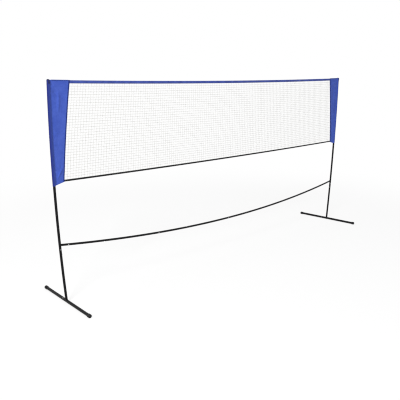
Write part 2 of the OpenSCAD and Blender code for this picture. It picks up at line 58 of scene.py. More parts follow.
SLEEVE_TOP_W = 0.156
SLEEVE_BOTTOM_W = 0.079
SLEEVE_DRAW = 5 * MM
SLEEVE_SLANT = 20 * MM
TOP_TAPE_Z = 1.532
TOP_TAPE_W = 20 * MM
TOP_SAG = 12 * MM
BOTTOM_TAPE_Z = 0.878
BOTTOM_TAPE_W = 13 * MM
BOTTOM_SAG = 10 * MM

LOOP_CENTRE_Z = 1.5383
LOOP_R = 11.1 * MM
LOOP_LEG = 16 * MM
LOOP_W = 10 * MM

BOW_CENTRE_X = POST_SPACING / 2 - POST_BEND_R * math.cos(POST_LEAN)
BOW_CENTRE_Z = FOOT_AXIS_Z + POST_BEND_R * math.sin(POST_LEAN)


def post_tilt(z):
    """Lean of the right post at a height."""
    return math.asin((BOW_CENTRE_Z - z) / POST_BEND_R)


def post_x(z):
    """Place of the right post's axis at a height."""
    return BOW_CENTRE_X + POST_BEND_R * math.cos(post_tilt(z))


BAR_PLANE = math.atan2(BAR_BOW, BAR_DROP)
BAR_SAG = math.hypot(BAR_DROP, BAR_BOW)
BAR_BEND_R = (post_x(BAR_HEIGHT) ** 2 + BAR_SAG ** 2) / (2 * BAR_SAG)


def edge_x(z):
    """Free edge of the right sleeve at a height, where the net starts."""
    t = (z - BOTTOM_TAPE_Z) / (TOP_TAPE_Z - BOTTOM_TAPE_Z)
    top = post_x(TOP_TAPE_Z) - SLEEVE_TOP_W
    bottom = post_x(BOTTOM_TAPE_Z) - SLEEVE_BOTTOM_W
    return bottom + (top - bottom) * t + 4 * SLEEVE_DRAW * t * (1 - t)


def sagged(x, z_end, sag):
    """Height of a tape's or the net's line that hangs between the sleeves."""
    return z_end - sag * (1 - (x / edge_x(z_end)) ** 2)


def smooth(low, high, value):
    """0 below low, 1 above high, and a soft step between them."""
    t = min(max((value - low) / (high - low), 0), 1)
    return t * t * (3 - 2 * t)


def mix(a, b, share):
    """The value at a share of the way from a to b."""
    return a + (b - a) * share


# ---- Camera ------------------------------------------------------------------------------------
CAMERA_PLACE = Vector((-3.4992, -3.2248, 1.6079))
CAMERA_YAW = 0.7755      # from +Y towards +X
CAMERA_PITCH = -0.2327
CAMERA_ROLL = 0.0082
CAMERA_LENS_MM = 48.98
SENSOR_MM = 36


def place_camera():
    """Stands the camera to the left and in front, and turns it by its yaw, pitch and roll."""
    ahead = Vector((
        math.sin(CAMERA_YAW) * math.cos(CAMERA_PITCH),
        math.cos(CAMERA_YAW) * math.cos(CAMERA_PITCH),
        math.sin(CAMERA_PITCH),
    ))
    level = Vector((math.cos(CAMERA_YAW), -math.sin(CAMERA_YAW), 0))
    up = level.cross(ahead)
    across = level * math.cos(CAMERA_ROLL) + up * math.sin(CAMERA_ROLL)
    up = up * math.cos(CAMERA_ROLL) - level * math.sin(CAMERA_ROLL)
    camera = bpy.data.objects.new("camera", bpy.data.cameras.new("camera"))
    camera.data.sensor_width = SENSOR_MM
    camera.data.lens = CAMERA_LENS_MM
    camera.matrix_world = Matrix((across, up, -ahead)).transposed().to_4x4()
    camera.location = CAMERA_PLACE
    bpy.context.scene.collection.objects.link(camera)
    bpy.context.scene.camera = camera


place_camera()


# ---- Materials ---------------------------------------------------------------------------------
def linear(colour):
    """An sRGB hex colour such as "3a4a94", as linear RGBA."""
    channels = [int(colour[i:i + 2], 16) / 255 for i in (0, 2, 4)]
    bright = [c / 12.92 if c <= 0.04045 else ((c + 0.055) / 1.055) ** 2.4 for c in channels]
    return (*bright, 1.0)


def add(tree, kind, settings=None, **inputs):
    """Adds a node. An input is a value, or a (node, output) pair to link. Its name is the socket's
    with _ for a space, or i and the socket's number where sockets share a name."""
    node = tree.nodes.new("ShaderNode" + kind)
    for name, value in (settings or {}).items():
        setattr(node, name, value)
    for name, value in inputs.items():
        socket = node.inputs[int(name[1:]) if name[1:].isdigit() else name.replace("_", " ")]
        if isinstance(value, tuple) and isinstance(value[0], bpy.types.Node):
            tree.links.new(value[0].outputs[value[1]], socket)
        else:
            socket.default_value = value
    return node


def start_material(name):
    """A new material, its node tree, and its shader joined to the output."""
    material = bpy.data.materials.new(name)
    material.use_nodes = True
    tree = material.node_tree
    tree.nodes.clear()
    shader = add(tree, "BsdfPrincipled")
    add(tree, "OutputMaterial", Surface=(shader, "BSDF"))
    return material, tree, shader


def join(tree, node, output, shader, socket):
    """Links a node's output to one of the shader's sockets."""
    tree.links.new(node.outputs[output], shader.inputs[socket])


def two_tone(tree, colour_a, colour_b, factor):
    """Mixes two colours by a node's value."""
    return add(
        tree, "Mix", {"data_type": "RGBA"}, i0=factor, i6=linear(colour_a), i7=linear(colour_b),
    )


def cloudy(tree, place, size, detail=2.0):
    """Soft patches of a size in metres, spread from 0 to 1."""
    clouds = add(tree, "TexNoise", Vector=place, Scale=1 / size, Detail=detail, Roughness=0.55)
    return add(tree, "MapRange", Value=(clouds, 0), From_Min=0.35, From_Max=0.65)


def powder_coat():
    """Satin black powder coat, baked on steel tube: nearly black, with a fine orange peel that
    breaks up its soft highlight, and a little dust."""
    material, tree, shader = start_material("powder_coat_black")
    here = (add(tree, "TexCoord"), "Object")
    dust = cloudy(tree, here, 45 * MM)
    colour = two_tone(tree, "070708", "121214", (dust, 0))
    peel = add(tree, "TexNoise", Vector=here, Scale=1 / (1.6 * MM), Detail=1.0)
    bump = add(tree, "Bump", Height=(peel, 0), Strength=0.12, Distance=0.15 * MM)
    rough = add(tree, "MapRange", Value=(dust, 0), To_Min=0.34, To_Max=0.46)
    join(tree, colour, 2, shader, "Base Color")
    join(tree, rough, 0, shader, "Roughness")
    join(tree, bump, 0, shader, "Normal")
    shader.inputs["Specular IOR Level"].default_value = 0.15
    return material


def zinc_plate():
    """Dull zinc plate on the inner tubes: grey metal, spangled and drawn along the tube."""
    material, tree, shader = start_material("zinc_plated_steel")
    here = (add(tree, "TexCoord"), "Object")
    spangle = cloudy(tree, here, 6 * MM)
    colour = two_tone(tree, "8d9094", "a9acb0", (spangle, 0))
    rough = add(tree, "MapRange", Value=(spangle, 0), To_Min=0.32, To_Max=0.5)
    join(tree, colour, 2, shader, "Base Color")
    join(tree, rough, 0, shader, "Roughness")
    shader.inputs["Metallic"].default_value = 1.0
    return material


def nickel_plate():
    """Bright nickel plate on pressed spring steel and rivets: pale metal with fine scuffs."""
    material, tree, shader = start_material("nickel_plated_steel")
    here = (add(tree, "TexCoord"), "Object")
    scuffs = cloudy(tree, here, 1.2 * MM, detail=4.0)
    colour = two_tone(tree, "cfd0d2", "e4e4e6", (scuffs, 0))
    rough = add(tree, "MapRange", Value=(scuffs, 0), To_Min=0.16, To_Max=0.3)
    join(tree, colour, 2, shader, "Base Color")
    join(tree, rough, 0, shader, "Roughness")
    shader.inputs["Metallic"].default_value = 1.0
    return material


def moulded_vinyl():
    """Soft black vinyl, moulded with a matt grain: duller than the tubes and slightly greyer."""
    material, tree, shader = start_material("moulded_vinyl_black")
    here = (add(tree, "TexCoord"), "Object")
    bloom = cloudy(tree, here, 14 * MM)
    colour = two_tone(tree, "0f0f10", "1c1c1e", (bloom, 0))
    grain = add(tree, "TexNoise", Vector=here, Scale=1 / (0.8 * MM), Detail=2.0)
    bump = add(tree, "Bump", Height=(grain, 0), Strength=0.25, Distance=0.12 * MM)
    rough = add(tree, "MapRange", Value=(bloom, 0), To_Min=0.55, To_Max=0.7)
    join(tree, colour, 2, shader, "Base Color")
    join(tree, rough, 0, shader, "Roughness")
    join(tree, bump, 0, shader, "Normal")
    shader.inputs["Specular IOR Level"].default_value = 0.3
    return material


def woven(name, colour_a, colour_b, thread, patch, shade=None, sheen=0.15, relief=0.1):
    """Plain-woven cloth on its UV map, which is in metres: matt, with a faint sheen and a dye that
    is a little uneven. Its threads are drawn coarser than the real 0.3 mm, so that the weave shows
    close by. The relief is in millimetres. A shade colour, where given, is painted shade round the
    post, partly the black tube showing through the thin cloth."""
    material, tree, shader = start_material(name)
    flat = (add(tree, "TexCoord"), "UV")
    bands = math.pi / 10 / thread     # a wave texture of scale 1 has a band every pi / 10
    warp = add(tree, "TexWave", {"bands_direction": "X"}, Vector=flat, Scale=bands)
    weft = add(tree, "TexWave", {"bands_direction": "Y"}, Vector=flat, Scale=bands)
    weave = add(tree, "Math", {"operation": "MULTIPLY"}, i0=(warp, 1), i1=(weft, 1))
    bump = add(tree, "Bump", Height=(weave, 0), Strength=0.5, Distance=relief * MM)
    dye = cloudy(tree, flat, patch, detail=3.0)
    colour = two_tone(tree, colour_a, colour_b, (dye, 0))
    if shade:
        # The pocket is painted darker round the post: partly the black tube showing through the
        # thin cloth that is stretched over it, partly painted shade where the cloth turns away from
        # the light
        over_tube = add(tree, "Attribute", {"attribute_name": "over_tube"})
        colour = add(
            tree, "Mix", {"data_type": "RGBA"},
            i0=(over_tube, "Fac"), i6=(colour, 2), i7=linear(shade),
        )
    join(tree, colour, 2, shader, "Base Color")
    join(tree, bump, 0, shader, "Normal")
    shader.inputs["Roughness"].default_value = 0.8
    shader.inputs["Specular IOR Level"].default_value = 0.25
    shader.inputs["Sheen Weight"].default_value = sheen
    shader.inputs["Sheen Roughness"].default_value = 0.5
    return material


def knotted_twine():
    """Bleached nylon twine: white and slightly warm, a little uneven in soft patches, with a soft
    fibrous gloss.
    """
    material, tree, shader = start_material("knotted_nylon_twine")
    here = (add(tree, "TexCoord"), "Object")
    wear = cloudy(tree, here, 60 * MM)
    lay = add(tree, "TexNoise", Vector=here, Scale=1 / (1.5 * MM), Detail=2.0)
    bump = add(tree, "Bump", Height=(lay, 0), Strength=0.3, Distance=0.2 * MM)
    colour = two_tone(tree, "d2d1ca", "e2e1da", (wear, 0))
    join(tree, colour, 2, shader, "Base Color")
    join(tree, bump, 0, shader, "Normal")
    shader.inputs["Roughness"].default_value = 0.6
    return material


COAT = powder_coat()
ZINC = zinc_plate()
NICKEL = nickel_plate()
VINYL = moulded_vinyl()
TWINE = knotted_twine()
# The sleeve's shade colour is painted shade round the post, partly the black tube showing through
SLEEVE_CLOTH = woven(
    "polyester_royal_blue", "4560c6", "4f6ad0", 1.6 * MM, 55 * MM, shade="212d7c", sheen=0.08,
)
BINDING_CLOTH = woven("polyester_binding_navy", "203380", "2a3f90", 1.2 * MM, 30 * MM, sheen=0.08)
HEM_CLOTH = woven("polyester_hem_blue", "3750a6", "4660ba", 1.2 * MM, 30 * MM, sheen=0.08)
TOP_TAPE_CLOTH = woven("polyester_tape_navy", "3e4fa2", "5063bc", 1.2 * MM, 60 * MM)
BOTTOM_TAPE_CLOTH = woven("polyester_tape_black", "101012", "1b1b1e", 1.2 * MM, 60 * MM)
WEBBING = woven("polypropylene_webbing", "1e2452", "2a326c", 1.4 * MM, 12 * MM, relief=0.3)
BLUE_THREAD = woven("sewing_thread_blue", "3d50a8", "5266c0", 0.4 * MM, 20 * MM)
NAVY_THREAD = woven("sewing_thread_navy", "1f2556", "2e3674", 0.4 * MM, 20 * MM)
BLACK_THREAD = woven("sewing_thread_black", "0c0c0e", "18181a", 0.4 * MM, 20 * MM)


# ---- Shared ways of making a piece -------------------------------------------------------------
def finish_piece(obj, material, replaced=()):
    """Gives a finished piece its material and body, and the CAD nodes that it stands for."""
    obj.data.materials.clear()
    obj.data.materials.append(material)
    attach(obj, "frame")
    if replaced:
        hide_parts(*replaced)
    return obj


def new_object(name, mesh):
    """An object in the scene for a mesh or a curve."""
    obj = bpy.data.objects.new(name, mesh)
    bpy.context.scene.collection.objects.link(obj)
    return obj


def bm_object(name, bm, shade_smooth=True):
    """A new object with the bmesh's shape; the bmesh itself goes."""
    mesh = bpy.data.meshes.new(name)
    bm.to_mesh(mesh)
    bm.free()
    if shade_smooth:
        mesh.shade_smooth()
    return new_object(name, mesh)


def apply_modifiers(obj):
    """Makes the object's mesh what its modifiers show."""
    depsgraph = bpy.context.evaluated_depsgraph_get()
    mesh = bpy.data.meshes.new_from_object(obj.evaluated_get(depsgraph))
    obj.modifiers.clear()
    obj.data = mesh


def curve_piece(name, curve):
    """A new object with the mesh of a curve and its round; the curve itself goes."""
    holder = new_object(name + "_curve", curve)
    depsgraph = bpy.context.evaluated_depsgraph_get()
    mesh = bpy.data.meshes.new_from_object(holder.evaluated_get(depsgraph))
    bpy.data.objects.remove(holder)
    bpy.data.curves.remove(curve)
    mesh.shade_smooth()
    return new_object(name, mesh)


def cloth_piece(name, columns, rows, place, flat_size, thick, attribute=None):
    """A grid of cloth. place(s, t) gives the point at s and t, each from 0 to 1; the UV map is
    the flat cloth in metres, and the cloth gets its thickness to both sides."""
    bm = bmesh.new()
    bmesh.ops.create_grid(bm, x_segments=columns, y_segments=rows, size=0.5)
    uv = bm.loops.layers.uv.new("UVMap")
    layer = bm.verts.layers.float.new(attribute[0]) if attribute else None
    shares = {vert: (vert.co.x + 0.5, vert.co.y + 0.5) for vert in bm.verts}
    for face in bm.faces:
        for loop in face.loops:
            s, t = shares[loop.vert]
            loop[uv].uv = (s * flat_size[0], t * flat_size[1])
    for vert, (s, t) in shares.items():
        if attribute:
            vert[layer] = attribute[1](s, t)
        vert.co = place(s, t)
    obj = bm_object(name, bm)
    solid = obj.modifiers.new("thickness", "SOLIDIFY")
    solid.thickness = thick
    solid.offset = 0
    solid.use_even_offset = True
    return obj


CLOTH = 0.6 * MM             # thickness of the sleeves, bindings and tapes
RIPPLE_LENGTH = 60 * MM
TAPE_COLUMNS = 14


def folded_tape(name, line, across, width, half_thick, rows, wave=0.0):
    """A tape folded in half along one edge. line(t) gives the fold's crest, across(t) the way
    from the fold to the tape's open edges, and the tape's faces look along Y."""
    length = sum((line((k + 1) / rows) - line(k / rows)).length for k in range(rows))
    fold_r = half_thick - CLOTH / 2
    arc = math.pi * fold_r
    flat_w = 2 * (width - half_thick) + arc

    def place(s, t):
        run = (s - 0.5) * flat_w
        if abs(run) < arc / 2:
            angle = run / fold_r
            deep, out = fold_r * (1 - math.cos(angle)), fold_r * math.sin(angle)
        else:
            deep, out = fold_r + abs(run) - arc / 2, math.copysign(fold_r, run)
        ripple = wave * noise.noise(Vector((t * length / RIPPLE_LENGTH, 0.3, 0)))
        return line(t) + across(t) * (deep + CLOTH / 2) + Vector((0, out + ripple, 0))

    flat_size = (flat_w, length)
    return cloth_piece(name, TAPE_COLUMNS, rows, place, flat_size, CLOTH), flat_size


THREAD_R = 0.3 * MM
ON_CLOTH = 0.1 * MM          # from a cloth's surface to the middle of its stitches


def stitch_rows(name, rows, pitch=3.8 * MM, stitch=2.7 * MM):
    """Rows of stitches as one mesh. Each row is a list of points on the cloth's surface."""
    curve = bpy.data.curves.new(name, "CURVE")
    curve.dimensions = "3D"
    curve.bevel_depth = THREAD_R
    curve.bevel_resolution = 0
    curve.use_fill_caps = True
    for points in rows:
        line = np.array([tuple(p) for p in points])
        along = np.concatenate([[0], np.cumsum(np.linalg.norm(np.diff(line, axis=0), axis=1))])
        for start in np.arange(pitch / 2, along[-1] - stitch, pitch):
            at = start + stitch * np.array([0, 0.5, 1])
            spline = curve.splines.new("POLY")
            spline.points.add(2)
            for point, distance in zip(spline.points, at):
                place = [float(np.interp(distance, along, line[:, k])) for k in range(3)]
                point.co = (*place, 1)
    return curve_piece(name, curve)


# ---- CAD nodes that are shown as they are ------------------------------------------------------
def dress_cad_nodes():
    """Gives each node its finish, also those that are replaced below."""
    for name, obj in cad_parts.items():
        if "button" in name or name == "rivets":
            material = NICKEL
        elif "inner_tube" in name:
            material = ZINC
        elif name.endswith("cap"):
            material = VINYL
        else:
            material = COAT
        obj.data.materials.clear()
        obj.data.materials.append(material)


dress_cad_nodes()


# ---- Bowed tubes -------------------------------------------------------------------------------
ROUND_WITHIN = 0.03 * MM     # how far a facet may lie from the true round
SPLITS = 7                   # rounds of splitting at most
SAME_POINT = 0.001 * MM
SHARP_FROM = math.radians(40)


def bowed_tube(name, centre, across, bend_r):
    """The CAD tube with a finer mesh: its long facets are split, and the new points are moved out
    to the true round of the tube and the true bow of its centre line. The bow is an arc of bend_r
    round centre, and across is square to its plane."""

    def from_line(point):
        arm = point - centre
        return arm - (arm - across * arm.dot(across)).normalized() * bend_r

    bm = bmesh.new()
    bm.from_mesh(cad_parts[name].data)
    bmesh.ops.remove_doubles(bm, verts=bm.verts, dist=SAME_POINT)
    depth = bm.verts.layers.float.new("depth")
    for vert in bm.verts:
        vert[depth] = from_line(vert.co).length
    for _ in range(SPLITS):
        facets = []
        for edge in bm.edges:
            one, two = edge.verts
            middle = from_line((one.co + two.co) / 2).length
            if abs(middle - (one[depth] + two[depth]) / 2) > ROUND_WITHIN:
                facets.append(edge)
        if not facets:
            break
        bmesh.ops.subdivide_edges(bm, edges=facets, cuts=1, use_single_edge=True)
        bmesh.ops.triangulate(bm, faces=bm.faces)
        for vert in bm.verts:
            out = from_line(vert.co)
            vert.co += out.normalized() * (vert[depth] - out.length)
    bm.verts.layers.float.remove(depth)
    tube = bm_object(name + "_bowed", bm)
    if "custom_normal" in tube.data.attributes:
        tube.data.attributes.remove(tube.data.attributes["custom_normal"])
    tube.data.set_sharp_from_angle(angle=SHARP_FROM)
    return finish_piece(tube, COAT, [name])


BAR_UP = Vector((0, math.sin(BAR_PLANE), math.cos(BAR_PLANE)))
BAR_ACROSS = BAR_UP.cross(Vector((1, 0, 0)))
BAR_CENTRE = Vector((0, 0, BAR_HEIGHT)) + BAR_UP * (BAR_BEND_R - BAR_SAG)
for number in (1, 2, 3, 4):
    bowed_tube("bar_tube_%d" % number, BAR_CENTRE, BAR_ACROSS, BAR_BEND_R)

for side, word in ((LEFT, "left"), (RIGHT, "right")):
    bow_centre = Vector((side * BOW_CENTRE_X, 0, BOW_CENTRE_Z))
    for part in ("lower", "upper"):
        name = word + "_post_" + part
        bowed_tube(name, bow_centre, Vector((0, 1, 0)), POST_BEND_R)


# ---- Sleeves -----------------------------------------------------------------------------------
POCKET_R = 9.9 * MM          # middle of the cloth round the post
SEAM_D = 19 * MM             # from the post's axis to the pocket's seam
LAYER_GAP = 0.75 * MM        # from the sleeve's middle plane to each layer's middle
HEM_W = 11 * MM
HEM_LIFT = 0.45 * MM         # how far the hem's turned-in edge lifts the cloth
HEM_STEP = 1.5 * MM
SLEEVE_TOP_POST_Z = 1.5465
SLEEVE_TOP_NET_Z = TOP_TAPE_Z + TOP_TAPE_W / 2 + 1.5 * MM
LOOP_NOTCH = 4 * MM          # how far the top edge dips where the loop's legs come out
SLEEVE_BOTTOM_NET_Z = BOTTOM_TAPE_Z - BOTTOM_TAPE_W / 2 - 1 * MM
SLEEVE_BOTTOM_POST_Z = SLEEVE_BOTTOM_NET_Z - SLEEVE_SLANT
NET_SIDE_H = SLEEVE_TOP_NET_Z - SLEEVE_BOTTOM_NET_Z
EDGE_PULL = 30 * MM          # the net pulls the cloth flatter over this distance from the edge,
EDGE_KEEPS = 0.35            # to this share of its folds,
SEAM_PULL = 25 * MM          # and the seam pulls it flat over this one
PUCKER = 0.25 * MM           # rise of the small puckers along the seam
PUCKER_LENGTH = 4.5 * MM     # of their wave, for each radian
PUCKER_REACH = 7 * MM
DRIFT = 1.7 * MM             # rise of the cloth's wide, soft waves
DRIFT_SIZE = (50 * MM, 110 * MM)
CRUMPLE = 0.45 * MM          # and of its small ones
CRUMPLE_SIZE = (16 * MM, 28 * MM)

FOLD_POWER = 1.5             # a fold's section is exp(-x ** power), a little sharper than a bell

# Folds: start and end, each as distance from the post and height, then width and rise
FOLDS = {
    LEFT: [
        ((0.072, 0.966), (0.020, 0.890), 9 * MM, -6.0 * MM),
        ((0.060, 0.985), (0.085, 0.900), 8 * MM, 3.0 * MM),
        ((0.018, 1.478), (0.135, 1.420), 16 * MM, 6.0 * MM),
        ((0.072, 1.455), (0.064, 1.350), 10 * MM, -5.0 * MM),
        ((0.030, 1.512), (0.150, 1.506), 7 * MM, -1.6 * MM),
        ((0.024, 1.400), (0.030, 1.260), 9 * MM, 1.8 * MM),
        ((0.015, 1.204), (0.115, 1.196), 6 * MM, -1.4 * MM),
        ((0.040, 1.130), (0.095, 1.060), 13 * MM, 2.0 * MM),
        ((0.020, 1.060), (0.050, 0.970), 10 * MM, -1.6 * MM),
    ],
    RIGHT: [
        ((0.030, 1.500), (0.130, 1.470), 12 * MM, -4.5 * MM),
        ((0.120, 1.455), (0.050, 1.405), 14 * MM, 5.5 * MM),
        ((0.080, 1.400), (0.074, 1.280), 12 * MM, 5.0 * MM),
        ((0.025, 1.420), (0.040, 1.330), 8 * MM, -2.4 * MM),
        ((0.015, 1.200), (0.112, 1.206), 6 * MM, -1.4 * MM),
        ((0.075, 1.150), (0.052, 1.000), 14 * MM, 6.0 * MM),
        ((0.056, 1.020), (0.040, 0.880), 12 * MM, 6.0 * MM),
        ((0.034, 0.975), (0.026, 0.900), 8 * MM, -2.4 * MM),
    ],
}


def fold_height(side, d, z):
    """How far the cloth stands out of its plane at a distance from the post and a height."""
    total = 0.0
    for (d0, z0), (d1, z1), width, rise in FOLDS[side]:
        length = math.hypot(d1 - d0, z1 - z0)
        along = ((d - d0) * (d1 - d0) + (z - z0) * (z1 - z0)) / length ** 2
        off = ((d - d0) * (z1 - z0) - (z - z0) * (d1 - d0)) / length
        ends = smooth(-0.25, 0.2, along) * (1 - smooth(0.8, 1.25, along))
        total += rise * math.exp(-(abs(off / width) ** FOLD_POWER)) * ends
    drift = noise.noise(Vector((d / DRIFT_SIZE[0], z / DRIFT_SIZE[1], 7.0 * side)))
    crumple = noise.noise(Vector((d / CRUMPLE_SIZE[0], z / CRUMPLE_SIZE[1], 3.0 + side)))
    total += DRIFT * drift + CRUMPLE * crumple
    return total * smooth(SEAM_D, SEAM_D + SEAM_PULL, d)


def sleeve_z(share, t):
    """Height at a share of the sleeve's width and height; its top and bottom edges slope."""
    low = mix(SLEEVE_BOTTOM_POST_Z, SLEEVE_BOTTOM_NET_Z, share)
    high = mix(SLEEVE_TOP_POST_Z, SLEEVE_TOP_NET_Z, share)
    return mix(low, high, t)


def seam_share(t):
    """The pocket seam's share of the sleeve's width, at a share of its height."""
    z = sleeve_z(0, t)
    return SEAM_D / (post_x(z) - edge_x(z))


def panel_point(side, share, t, face, lift=0.0):
    """A point on the flat part of a sleeve: share runs from the post's axis to the free edge."""
    z = sleeve_z(share, t)
    width = post_x(z) - edge_x(z)
    d = share * width
    from_end = min(t, 1 - t) * NET_SIDE_H
    hem = HEM_LIFT * (1 - smooth(HEM_W, HEM_W + HEM_STEP, from_end))
    pulled = smooth(0, EDGE_PULL, width - d)
    pucker = PUCKER * math.sin(z / PUCKER_LENGTH) * math.exp(-abs(d - SEAM_D) / PUCKER_REACH)
    out = fold_height(side, d, z) * mix(EDGE_KEEPS, 1, pulled) + pucker
    y = out + face * (LAYER_GAP + hem + lift)
    return Vector((side * (post_x(z) - d), y, z))


SLEEVE_GRID = (120, 200)

# From the outside of the pocket inwards, the cloth goes round the post up to ARC_SHARE, on to the
# seam up to SLOPE_SHARE, and then over the panel
ARC_SHARE, SLOPE_SHARE = 0.30, 0.40
TANGENT = math.acos(POCKET_R / SEAM_D)
SLOPE_POWER = 1.35           # over 1, so that the cloth draws in on its way to the seam
NOTCH_DEPTH = 30 * MM        # the notch for the loop is let in over this height
TUBE_SHADE = (0.08, 0.45)    # the pocket's painted shade, with the tube showing through, fades between these two shares


def sleeve_point(side, s, t):
    """A point of a sleeve's cloth: s runs from the front free edge round the post to the back."""
    reach = abs(2 * s - 1)
    face = FRONT if s < 0.5 else BACK
    if reach > SLOPE_SHARE:
        share = mix(seam_share(t), 1, (reach - SLOPE_SHARE) / (1 - SLOPE_SHARE))
        return panel_point(side, share, t, face)
    tangent = (POCKET_R * math.cos(TANGENT), POCKET_R * math.sin(TANGENT))
    if reach > ARC_SHARE:
        step = (reach - ARC_SHARE) / (SLOPE_SHARE - ARC_SHARE)
        d = mix(tangent[0], SEAM_D, step)
        y = mix(tangent[1], LAYER_GAP, 1 - (1 - step) ** SLOPE_POWER)
    else:
        angle = math.pi - reach / ARC_SHARE * (math.pi - TANGENT)
        d, y = POCKET_R * math.cos(angle), POCKET_R * math.sin(angle)
    z = sleeve_z(max(d, 0) / SEAM_D * seam_share(t), t)
    notch = LOOP_NOTCH * (1 - smooth(LOOP_W * 0.6, LOOP_W * 0.9, abs(d)))
    z -= notch * smooth(SLEEVE_TOP_POST_Z - NOTCH_DEPTH, SLEEVE_TOP_POST_Z, z)
    return Vector((side * (post_x(z) - d), face * y, z))


def over_tube(s, t):
    """1 where the cloth lies on the tube, and 0 on the panel: the weight of the pocket's painted
    shade, partly the tube showing through.
    """
    return 1 - smooth(*TUBE_SHADE, abs(2 * s - 1))


def panel_mid(side, share, t):
    """The middle between the two layers."""
    point = panel_point(side, share, t, FRONT)
    point.y += LAYER_GAP
    return point


BINDING_W = 10 * MM
BINDING_HALF_THICK = 2.3 * MM
BINDING_PAST = 1.2 * MM      # how far the free edge's binding reaches past the cloth
TOP_BINDING_W = 7 * MM
TOP_BINDING_HALF_THICK = 2.1 * MM
TOP_BINDING_PAST = 1.0 * MM
TOP_BINDING_SHARES = (0.14, 0.93)     # of the sleeve's width, from the post's axis
HEM_SEAM_SHARES = (0.2, 0.95)
HEM_SEAM_Z = HEM_W - 2 * MM  # above the bottom edge
EDGE_STITCHES_IN = 6.3 * MM  # from the free edge
TOP_STITCHES_DOWN = 4.2 * MM  # from the top edge
SEAM_STEPS = [k / 160 for k in range(161)]


def make_sleeve(side, word):
    """The cloth round the post, its bindings and stitches, and the loop over the post's cap."""
    height = SLEEVE_TOP_NET_Z - SLEEVE_BOTTOM_POST_Z
    flat_w = 2 * (SLEEVE_TOP_W + math.pi / 2 * POCKET_R)
    # The cloth carries the weight of its painted shade round the post as an attribute
    cloth = cloth_piece(
        word + "_sleeve_cloth", *SLEEVE_GRID, lambda s, t: sleeve_point(side, s, t),
        (flat_w, height), CLOTH, ("over_tube", over_tube),
    )
    finish_piece(cloth, SLEEVE_CLOTH, [word + "_sleeve"])
    bind_sleeve(side, word)
    stitch_sleeve(side, word)
    make_loop(side, word)


def top_edge(side, t):
    """A point on the bound part of the sleeve's top edge."""
    return panel_mid(side, mix(*TOP_BINDING_SHARES, t), 1)


def bind_sleeve(side, word):
    """The folded bindings on the sleeve's free edge and top edge."""
    inwards = Vector((side, 0, 0))
    edge, size = folded_tape(
        word + "_sleeve_binding",
        lambda t: panel_mid(side, 1, t) - inwards * BINDING_PAST,
        lambda t: inwards, BINDING_W, BINDING_HALF_THICK, rows=150,
    )
    finish_piece(edge, BINDING_CLOTH)

    top, size = folded_tape(
        word + "_sleeve_top_binding",
        lambda t: top_edge(side, t) + Vector((0, 0, TOP_BINDING_PAST)),
        lambda t: Vector((0, 0, -1)), TOP_BINDING_W, TOP_BINDING_HALF_THICK, rows=40,
    )
    finish_piece(top, HEM_CLOTH)


def stitch_sleeve(side, word):
    """The pocket's seam and the hem in blue, and the bindings' stitches in navy."""
    lift = CLOTH / 2 + ON_CLOTH
    hem_t = HEM_SEAM_Z / NET_SIDE_H
    rows = []
    for face in (FRONT, BACK):
        rows.append([panel_point(side, seam_share(t), t, face, lift) for t in SEAM_STEPS])
        shares = [mix(*HEM_SEAM_SHARES, t) for t in SEAM_STEPS]
        rows.append([panel_point(side, share, hem_t, face, lift) for share in shares])
    finish_piece(stitch_rows(word + "_sleeve_stitches", rows), BLUE_THREAD)

    rows = []
    for face in (FRONT, BACK):
        out = face * (BINDING_HALF_THICK + ON_CLOTH)
        off = Vector((side * EDGE_STITCHES_IN, out, 0))
        rows.append([panel_mid(side, 1, t) + off for t in SEAM_STEPS])
        out = face * (TOP_BINDING_HALF_THICK + ON_CLOTH)
        off = Vector((0, out, -TOP_STITCHES_DOWN))
        rows.append([top_edge(side, t) + off for t in SEAM_STEPS])
    finish_piece(stitch_rows(word + "_binding_stitches", rows), NAVY_THREAD)


LOOP_THICK = 1.1 * MM
LOOP_GRID = (6, 56)
LOOP_DRAW = 0.2 * MM         # how far the stitches draw the legs' ends in


def make_loop(side, word):
    """The webbing over the post's cap, with its two legs sewn to the pocket."""
    arc = math.pi * LOOP_R
    length = arc + 2 * LOOP_LEG
    x = post_x(LOOP_CENTRE_Z)

    def middle(t):
        run = (t - 0.5) * length
        if abs(run) < arc / 2:
            angle = run / LOOP_R
            return LOOP_R * math.sin(angle), LOOP_CENTRE_Z + LOOP_R * math.cos(angle)
        drop = abs(run) - arc / 2
        out = LOOP_R - LOOP_DRAW * smooth(0, LOOP_LEG, drop)
        return math.copysign(out, run), LOOP_CENTRE_Z - drop

    def place(s, t):
        y, z = middle(t)
        return Vector((side * (x + (s - 0.5) * LOOP_W), y, z))

    loop = cloth_piece(word + "_post_loop", *LOOP_GRID, place, (LOOP_W, length), LOOP_THICK)
    finish_piece(loop, WEBBING, [word + "_top_loop"])

    low, high = LOOP_CENTRE_Z - LOOP_LEG + 2 * MM, LOOP_CENTRE_Z - 3 * MM
    half = LOOP_W / 2 - 1.6 * MM
    box = [(-half, low), (half, low), (half, high), (-half, high), (-half, low), (half, high)]
    rows = []
    for face in (FRONT, BACK):
        y = face * (LOOP_R + 0.5 * MM)
        rows.append([Vector((side * (x + d), y, z)) for d, z in box])
    stitches = stitch_rows(word + "_loop_stitches", rows, pitch=2.4 * MM, stitch=1.7 * MM)
    finish_piece(stitches, BLACK_THREAD)


for side, word in ((LEFT, "left"), (RIGHT, "right")):
    make_sleeve(side, word)


# ---- Tapes -------------------------------------------------------------------------------------
TAPE_HALF_THICK = 1.5 * MM
TAPE_STEPS = 320
STITCHES_AT = 0.78           # share of a tape's width, from its fold


def tape_point(t, z_end, sag):
    """A point on a tape's middle line, from the left sleeve to the right one."""
    x = (2 * t - 1) * edge_x(z_end)
    return Vector((x, 0, sagged(x, z_end, sag)))


